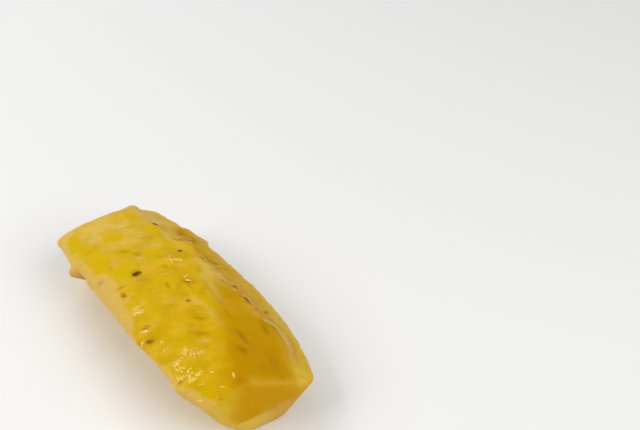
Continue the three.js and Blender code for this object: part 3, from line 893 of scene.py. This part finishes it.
def flesh_material(settings):
    """Moist pineapple flesh, cut with a knife and cold smoked: it lets light in by a few
    millimetres, so its shadows glow yellow, and a film of juice makes it glossy."""
    material, add, shader = new_material("moist_pineapple_flesh", {
        "IOR": 1.36,
        "Specular IOR Level": 0.045,
        "Specular Tint": rgba(hex_colour("#FFE77C")),
        "Coat Roughness": 0.1,
        "Subsurface Weight": 0.45,
        "Subsurface Radius": (1.0, 0.6, 0.1),
        "Subsurface Scale": 0.002,
    })
    link = material.node_tree.links.new
    place = add("ShaderNodeTexCoord").outputs["Object"]
    fields = {}
    for name in FIELDS:
        fields[name] = add("ShaderNodeAttribute", attribute_name=name).outputs["Fac"]

    # Clouding of the flesh, about 7 mm across
    cloud = add("ShaderNodeTexNoise", {
        "Vector": place, "Scale": 150, "Detail": 2.5, "Roughness": 0.5})
    # Fibre ends on the peeled face, 1 by 3 mm, leaning across it
    lean = add("ShaderNodeMapping", {
        "Vector": place, "Rotation": (0, 0, math.radians(FIBRE_LEAN)),
        "Scale": (0.0034, 0.0010, 0.003)}, vector_type="TEXTURE")
    dashes = add("ShaderNodeTexNoise", {"Vector": lean, "Scale": 1.0, "Detail": 2})
    # Strands of the cut faces, 1.2 mm apart, that fan out from the core to the peel. The places
    # are counted in strands already.
    counted = add("ShaderNodeAttribute", attribute_name="strands")
    strands = add("ShaderNodeTexNoise", {
        "Vector": counted.outputs["Vector"], "Scale": 1.0, "Detail": 3})
    light_strands = add("ShaderNodeMath", {0: strands, 1: fields["cut"]}, operation="MULTIPLY")
    gaps = add("ShaderNodeMath", {0: fields["cut"], 1: strands}, operation="SUBTRACT")

    drivers = {"cloud": cloud, "dashes": dashes, "strands": light_strands, "gaps": gaps, **fields}
    # Each layer: what drives it, the values where it starts and is full, its strength, its colour
    layers = (
        ("cloud", 0.36, 0.54, 1.0, "golden"),
        ("cloud", 0.52, 0.68, 0.75, "tan"),
        ("cut", 0, 1, 1.0, "cut"),
        ("pale", 0, 1, 0.95, "pale"),
        ("ripe", 0, 1, 0.95, "ripe"),
        # Painted shade in deep orange on the slope away from the key lamp
        ("amber", 0, 1, 0.95, "amber"),
        ("dashes", 0.58, 0.75, 0.22, "tan"),
        ("dashes", 0.42, 0.25, 0.20, "dark"),
        ("strands", 0.50, 0.68, 0.40, "pale"),
        ("gaps", 0.52, 0.70, 0.32, "dark"),
        ("rim", 0, 1, 0.90, "rim"),
        ("skin", 0, 1, 0.85, "skin"),
        ("dark", 0, 1, 0.80, "dark"),
        # Painted shade in the creases beside the folds
        ("crease", 0, 1, 0.55, "crease"),
        ("stain", 0, 1, 0.90, "stain"),
    )
    # Under them lies the golden flesh, shaded a little
    colour = rgba(part * 0.86 for part in settings.golden)
    for driver, start, full, strength, name in layers:
        share = add("ShaderNodeMapRange", {
            "Value": drivers[driver], "From Min": start, "From Max": full, "To Max": strength})
        colour = add("ShaderNodeMix", {
            0: share, 6: colour, 7: rgba(getattr(settings, name))}, data_type="RGBA").outputs[2]
    link(colour, shader.inputs["Base Color"])

    # Wet places are smoother and carry a film of juice
    for socket, dry, wet in (("Roughness", 0.45, 0.22), ("Coat Weight", 0.0, 0.45)):
        level = add("ShaderNodeMapRange", {"Value": fields["wet"], "To Min": dry, "To Max": wet})
        link(level.outputs[0], shader.inputs[socket])
    # Pores of the flesh, about 0.6 mm apart, drawn a little coarser than they are
    pores = add("ShaderNodeTexNoise", {"Vector": place, "Scale": 1300, "Detail": 2})
    rough = add("ShaderNodeMath", {0: dashes, 1: pores}, operation="ADD")
    bump = add("ShaderNodeBump", {"Height": rough, "Strength": 0.2, "Distance": 0.0002})
    link(bump.outputs[0], shader.inputs["Normal"])
    return material


def juice_material(settings):
    """Beads of sweet juice on the flesh: they take its yellow, lightened to a cream that paints in
    part of their glint as painted highlight, and glint under the lamps.
    """
    return new_material("clear_juice", {
        "Base Color": rgba(settings.tint),
        "Roughness": 0.10,
        "IOR": 1.38,
        "Specular Tint": rgba(hex_colour("#FFF6CB")),
        "Coat Weight": 0.35,
        "Coat Roughness": 0.05,
        "Coat Tint": rgba(hex_colour("#FFF3CB")),
    })[0]


def scrap_material(settings):
    """Dry scraps of the fruit's eyes: brown, woody and matt, with lighter edges."""
    material, add, shader = new_material("dry_eye_scrap", {
        "Roughness": 0.6, "Specular IOR Level": 0.06})
    link = material.node_tree.links.new
    place = add("ShaderNodeTexCoord").outputs["Object"]
    # Grain of the scraps, about 0.4 mm across
    grain = add("ShaderNodeTexNoise", {"Vector": place, "Scale": 2500, "Detail": 3})
    dry = add("ShaderNodeAttribute", attribute_name="dry")
    uneven = add("ShaderNodeMath", {0: dry.outputs["Fac"], 1: grain}, operation="SUBTRACT")
    share = add("ShaderNodeMapRange", {"Value": uneven, "From Min": -0.5, "From Max": 0.4})
    colour = add("ShaderNodeMix", {
        0: share, 6: rgba(settings.soft), 7: rgba(settings.brown)}, data_type="RGBA")
    link(colour.outputs[2], shader.inputs["Base Color"])
    bump = add("ShaderNodeBump", {"Height": grain, "Strength": 0.5, "Distance": 0.0001})
    link(bump.outputs[0], shader.inputs["Normal"])
    return material


class PINEAPPLE_OT_flesh(bpy.types.Operator):
    """Cuts the flesh of the wedge and replaces the plain solid with it"""
    bl_idname = "pineapple.flesh"
    bl_label = "Cut the flesh"

    def execute(self, context):
        settings = context.scene.pineapple_flesh
        starts, turns, around = flesh_grid(settings)
        points, x, around, at_end = surface_points(starts, turns, around, settings)
        shift = piece_shift(points)
        context.scene["pineapple_shift"] = shift.tolist()
        # One more point closes each end
        every = np.concatenate([points.reshape(-1, 3), [points[0].mean(0), points[-1].mean(0)]])
        index = np.arange(len(every) - 2).reshape(points.shape[:2])
        right = np.roll(index, -1, axis=1)
        far, near = len(every) - 2, len(every) - 1
        faces = ring_quads(index)
        faces += [[far, int(b), int(a)] for a, b in zip(index[0], right[0])]
        faces += [[near, int(a), int(b)] for a, b in zip(index[-1], right[-1])]
        mesh = new_mesh("pineapple_flesh", every + shift, faces, flesh_material(settings))
        piece = new_piece("pineapple_flesh", mesh)
        fields = flesh_fields(points, x, around, at_end, settings.heart_height / MM)
        for name, values in fields.items():
            closing = [values[0].mean(), values[-1].mean()]
            store_field(mesh, name, np.concatenate([values.ravel(), closing]))
        store_field(mesh, "strands", strand_space(every))
        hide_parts(NODE)
        return {"FINISHED"}


def surface_frames(curve, settings):
    """Points on the flesh along a curve, the way out of it, and the way to the near side."""
    def at(dx, da):
        return surface_points(
            curve[:, 0] + dx, np.zeros(len(curve)), curve[:, 1] + da, settings, fine=False)[0]
    middle = at(0, 0)
    outward = np.cross(at(0, -2) - at(0, 2), at(1, 0) - at(-1, 0))
    from_heart = middle * [0, 1, 1] - [0, 0, settings.heart_height / MM]
    outward = unit(outward * np.sign((outward * from_heart).sum(-1))[:, None])
    near = np.cross(outward, np.gradient(middle, axis=0))
    return middle, outward, unit(near * np.sign(near[:, 0] - near[:, 1] * 0.5)[:, None])


class PINEAPPLE_OT_folds(bpy.types.Operator):
    """Lays the thin folds of membrane along the right of the peeled face"""
    bl_idname = "pineapple.folds"
    bl_label = "Lay the folds"

    def execute(self, context):
        settings = context.scene.pineapple_flesh
        shift = np.array(context.scene["pineapple_shift"])
        part = np.linspace(0, 1, FOLD_ROWS)[:, None]
        across = np.linspace(-1, 1, FOLD_COLUMNS)
        taper = np.sin(np.pi * np.clip(part, 0.01, 0.99)) ** 0.8
        lifted = smooth(-1.0, 0.7, across) - 0.25 * smooth(0.7, 1.0, across)
        edge = np.concatenate([across, across[::-1]]) + 0 * part
        points, faces, fields = [], [], {name: [] for name in FIELDS}
        for index, (path, half_width, lift) in enumerate(FOLDS):
            curve = path_points(path, FOLD_ROWS)
            middle, outward, near = surface_frames(curve, settings)
            own = [index * 9, 0, 0]
            wave = soft_noise(part * [3, 0, 0] + own, 1.0, 51)[:, None]
            ragged = soft_noise(part * [14, 0, 0] + own, 1.0, 52)[:, None]
            aside = half_width * taper * (1 + 0.22 * wave + 0.10 * ragged) * across
            up = FOLD_RISE * lift * taper * (1 + 0.3 * wave) * lifted - FOLD_SINK
            sheet = middle[:, None] + near[:, None] * aside[..., None]
            sheet = sheet + outward[:, None] * up[..., None]
            under = sheet - outward[:, None] * FOLD_THICKNESS
            ring = np.concatenate([sheet, under[:, ::-1]], 1)
            grid = np.arange(edge.size).reshape(edge.shape) + index * edge.size
            points.append(ring.reshape(-1, 3) + shift)
            faces += ring_quads(grid) + [grid[0][::-1].tolist(), grid[-1].tolist()]
            # Painted shade in deep orange on the low side of a fold towards the near end, and
            # painted shade in the creases at its buried edge
            amber = smooth(-16, 10, curve[:, :1])
            values = {
                "amber": 0.5 * amber * (1 - smooth(-0.3, 0.5, edge)),
                "skin": 0.95 * smooth(-0.6, 0.3, edge),
                "crease": 0.25 * (1 - smooth(-1, -0.5, edge)),
            }
            for name in FIELDS:
                fields[name].append(values.get(name, 0 * edge).ravel())
        flesh = bpy.data.materials["moist_pineapple_flesh"]
        mesh = new_mesh("knife_folds", np.concatenate(points), faces, flesh)
        new_piece("knife_folds", mesh)
        for name in FIELDS:
            store_field(mesh, name, np.concatenate(fields[name]))
        return {"FINISHED"}


class PINEAPPLE_OT_scraps(bpy.types.Operator):
    """Lays the brown scraps of the eyes in their pits"""
    bl_idname = "pineapple.scraps"
    bl_label = "Lay the eye scraps"

    def execute(self, context):
        settings = context.scene.pineapple_flesh
        shift = np.array(context.scene["pineapple_shift"])
        points, faces, dry = [], [], []
        for index, (x, around, _, _, scrap, dryness) in enumerate(EYES):
            if scrap <= 0:
                continue
            ball = bmesh.new()
            bmesh.ops.create_icosphere(ball, subdivisions=3, radius=0.5)
            shape = np.array([v.co[:] for v in ball.verts])
            start = sum(len(p) for p in points)
            faces += [[v.index + start for v in f.verts] for f in ball.faces]
            ball.free()
            rough = 1 + 0.45 * soft_noise(shape + index * 7.3, 0.45, 41)
            rough = rough + 0.25 * soft_noise(shape + index, 0.18, 42)
            # One end is thinner, and the smaller a scrap is, the rounder
            thin = 1 - 0.6 * smooth(-0.1, 0.5, shape[:, 0])
            size = np.array([scrap, 0.33 * scrap + 0.38, 0.20 * scrap + 0.40])
            shape = shape * rough[:, None] * size
            shape[:, 1] *= thin
            turn = 1.0 + 0.2 * math.sin(index * 2.4)
            cosine, sine = math.cos(turn), math.sin(turn)
            spin = np.array([[cosine, -sine, 0], [sine, cosine, 0], [0, 0, 1]])
            here, ahead, beside = (
                surface_points(np.float64(x + dx), np.float64(0), np.float64(around + da),
                               settings, fine=False)[0]
                for dx, da in ((0, 0), (1, 0), (0, 3)))
            along = unit(ahead - here)
            outward = unit(np.cross(beside - here, along))
            axes = np.stack([along, np.cross(outward, along), outward])
            points.append((shape @ spin.T) @ axes + here + outward * scrap * 0.05 + shift)
            # The thinner end is softer and lighter than the other
            dry.append(dryness * (1 - 0.5 * smooth(-0.1, 0.5, shape[:, 0] / scrap)))
        material = scrap_material(context.scene.pineapple_scraps)
        mesh = new_mesh("eye_scraps", np.concatenate(points), faces, material)
        new_piece("eye_scraps", mesh)
        store_field(mesh, "dry", np.concatenate(dry))
        return {"FINISHED"}


def bead_tree(material, settings):
    """Geometry nodes that scatter flat, uneven beads where the flesh is wettest."""
    tree = bpy.data.node_groups.new("juice_beads", "GeometryNodeTree")
    values = {}
    given_inputs = (
        ("Flesh", "NodeSocketGeometry", None),
        ("Density", "NodeSocketFloat", settings.density),
        ("Smallest", "NodeSocketFloat", settings.smallest),
        ("Largest", "NodeSocketFloat", settings.largest),
        ("Unevenness", "NodeSocketFloat", settings.unevenness),
        ("Seed", "NodeSocketInt", 4),
    )
    for name, kind, value in given_inputs:
        socket = tree.interface.new_socket(name, in_out="INPUT", socket_type=kind)
        if value is not None:
            values[socket.identifier] = value
    tree.interface.new_socket("Beads", in_out="OUTPUT", socket_type="NodeSocketGeometry")
    add = partial(add_node, tree)
    given = add("NodeGroupInput").outputs
    wet = add("GeometryNodeInputNamedAttribute", {"Name": "wet"}, data_type="FLOAT")
    wetter = add("ShaderNodeMath", {0: wet, 1: 2.0}, operation="POWER")
    amount = add("ShaderNodeMath", {0: wetter, 1: given["Density"]}, operation="MULTIPLY")
    spread = add("GeometryNodeDistributePointsOnFaces", {
        "Mesh": given["Flesh"], "Density": amount, "Seed": given["Seed"]})
    ball = add("GeometryNodeMeshIcoSphere", {"Radius": 1.0, "Subdivisions": 3})
    size = add("FunctionNodeRandomValue", {
        2: given["Smallest"], 3: given["Largest"], "Seed": 8}, data_type="FLOAT")
    # Flat beads, from round to seven times as long as they are wide
    stretch = add("FunctionNodeRandomValue", {
        0: (0.8, 0.35, 0.30), 1: (2.4, 0.8, 0.5), "Seed": 9}, data_type="FLOAT_VECTOR")
    scale = add("ShaderNodeVectorMath", {0: stretch, "Scale": size.outputs[1]}, operation="SCALE")
    spin = add("FunctionNodeRandomValue", {
        0: (0, 0, 0), 1: (0, 0, 2 * math.pi), "Seed": 10}, data_type="FLOAT_VECTOR")
    pose = add("FunctionNodeRotateRotation", {
        0: spread.outputs["Rotation"], 1: spin}, rotation_space="LOCAL")
    placed = add("GeometryNodeInstanceOnPoints", {
        "Points": spread.outputs["Points"], "Instance": ball.outputs["Mesh"], "Rotation": pose,
        "Scale": scale})
    real = add("GeometryNodeRealizeInstances", {0: placed})
    # Dents about 0.6 mm across
    place = add("GeometryNodeInputPosition")
    normal = add("GeometryNodeInputNormal")
    dents = add("ShaderNodeTexNoise", {"Vector": place, "Scale": 1700, "Detail": 1})
    depth = add("ShaderNodeMath", {0: dents, 1: 0.55}, operation="SUBTRACT")
    push = add("ShaderNodeMath", {0: depth, 1: given["Unevenness"]}, operation="MULTIPLY")
    move = add("ShaderNodeVectorMath", {0: normal, "Scale": push}, operation="SCALE")
    uneven = add("GeometryNodeSetPosition", {"Geometry": real, "Offset": move})
    shown = add("GeometryNodeSetMaterial", {"Geometry": uneven, "Material": material})
    add("NodeGroupOutput", {0: shown})
    return tree, values


class PINEAPPLE_OT_juice(bpy.types.Operator):
    """Scatters beads of juice over the wettest places of the flesh"""
    bl_idname = "pineapple.juice"
    bl_label = "Scatter the juice"

    def execute(self, context):
        settings = context.scene.pineapple_juice
        tree, values = bead_tree(juice_material(settings), settings)
        holder = new_object("juice_holder", bpy.data.objects["pineapple_flesh"].data.copy())
        modifier = holder.modifiers.new("juice", "NODES")
        modifier.node_group = tree
        for identifier, value in values.items():
            modifier[identifier] = value
        context.view_layer.update()
        evaluated = holder.evaluated_get(context.evaluated_depsgraph_get())
        mesh = bpy.data.meshes.new_from_object(evaluated)
        holder.modifiers.remove(modifier)
        bpy.data.objects.remove(holder)
        new_piece("juice_beads", mesh)
        return {"FINISHED"}


class PINEAPPLE_OT_stage(bpy.types.Operator):
    """Sets the pale floor, the soft lights and the camera"""
    bl_idname = "pineapple.stage"
    bl_label = "Set the stage"

    def execute(self, context):
        settings = context.scene.pineapple_stage
        scene = context.scene
        # Uncoated white paper, which has no gloss
        paper = new_material("matt_white_paper", {
            "Base Color": rgba(hex_colour("#F2F2F1")), "Roughness": 0.9})[0]
        corners = [(x * FLOOR_HALF, y * FLOOR_HALF, 0)
                   for x, y in ((-1, -1), (1, -1), (1, 1), (-1, 1))]
        floor = new_object("floor", new_mesh("floor", corners, [(0, 1, 2, 3)], paper))

        turn, tilt = settings.camera_azimuth, settings.camera_elevation
        flat_view = Vector((-math.sin(turn), math.cos(turn), 0))
        view = flat_view * math.cos(tilt) - Vector((0, 0, math.sin(tilt)))
        side = Vector((math.cos(turn), math.sin(turn), 0))
        camera_data = bpy.data.cameras.new("camera")
        camera_data.sensor_width = 36
        camera_data.lens = settings.lens
        camera_data.clip_start = 0.01
        camera = new_object("camera", camera_data)
        axes = Matrix((side, side.cross(view), -view)).transposed().to_4x4()
        place = Vector(CAMERA_AIM) - view * settings.camera_distance
        camera.matrix_world = Matrix.Translation(place) @ axes
        scene.camera = camera

        world = bpy.data.worlds.new("studio")
        scene.world = world
        world.use_nodes = True
        backdrop = world.node_tree.nodes["Background"]
        backdrop.inputs["Color"].default_value = rgba(hex_colour("#FFFFFF"))
        backdrop.inputs["Strength"].default_value = 0.35
        scene.view_settings.view_transform = "Standard"
        for name, right, past, up, width, height, power in LAMPS:
            away = side * right + flat_view * past + Vector((0, 0, up))
            lamp_data = bpy.data.lights.new(name, "AREA")
            lamp_data.shape = "RECTANGLE"
            lamp_data.size = width
            lamp_data.size_y = height
            lamp_data.energy = power
            lamp = new_object(name, lamp_data)
            lamp.location = away
            lamp.rotation_euler = (-away).to_track_quat("-Z", "Y").to_euler()
        return {"FINISHED"}


class PINEAPPLE_PT_panel(bpy.types.Panel):
    """Lists the steps that build the wedge"""
    bl_label = "Smoked pineapple wedge"
    bl_idname = "PINEAPPLE_PT_panel"
    bl_space_type = "VIEW_3D"
    bl_region_type = "UI"
    bl_category = "Pineapple"

    def draw(self, context):
        for step in STEPS:
            self.layout.operator(step.bl_idname)


STEPS = (
    PINEAPPLE_OT_flesh, PINEAPPLE_OT_folds, PINEAPPLE_OT_scraps, PINEAPPLE_OT_juice,
    PINEAPPLE_OT_stage)
SETTINGS = {
    "pineapple_flesh": FleshSettings, "pineapple_scraps": ScrapSettings,
    "pineapple_juice": JuiceSettings, "pineapple_stage": StageSettings}
CLASSES = tuple(SETTINGS.values()) + STEPS + (PINEAPPLE_PT_panel,)


def register():
    for cls in CLASSES:
        bpy.utils.register_class(cls)
    for name, group in SETTINGS.items():
        setattr(bpy.types.Scene, name, bpy.props.PointerProperty(type=group))


def unregister():
    for name in SETTINGS:
        delattr(bpy.types.Scene, name)
    for cls in reversed(CLASSES):
        bpy.utils.unregister_class(cls)


def main():
    register()
    bpy.ops.pineapple.flesh()
    bpy.ops.pineapple.folds()
    bpy.ops.pineapple.scraps()
    bpy.ops.pineapple.juice()
    bpy.ops.pineapple.stage()


if __name__ == "__main__":
    main()
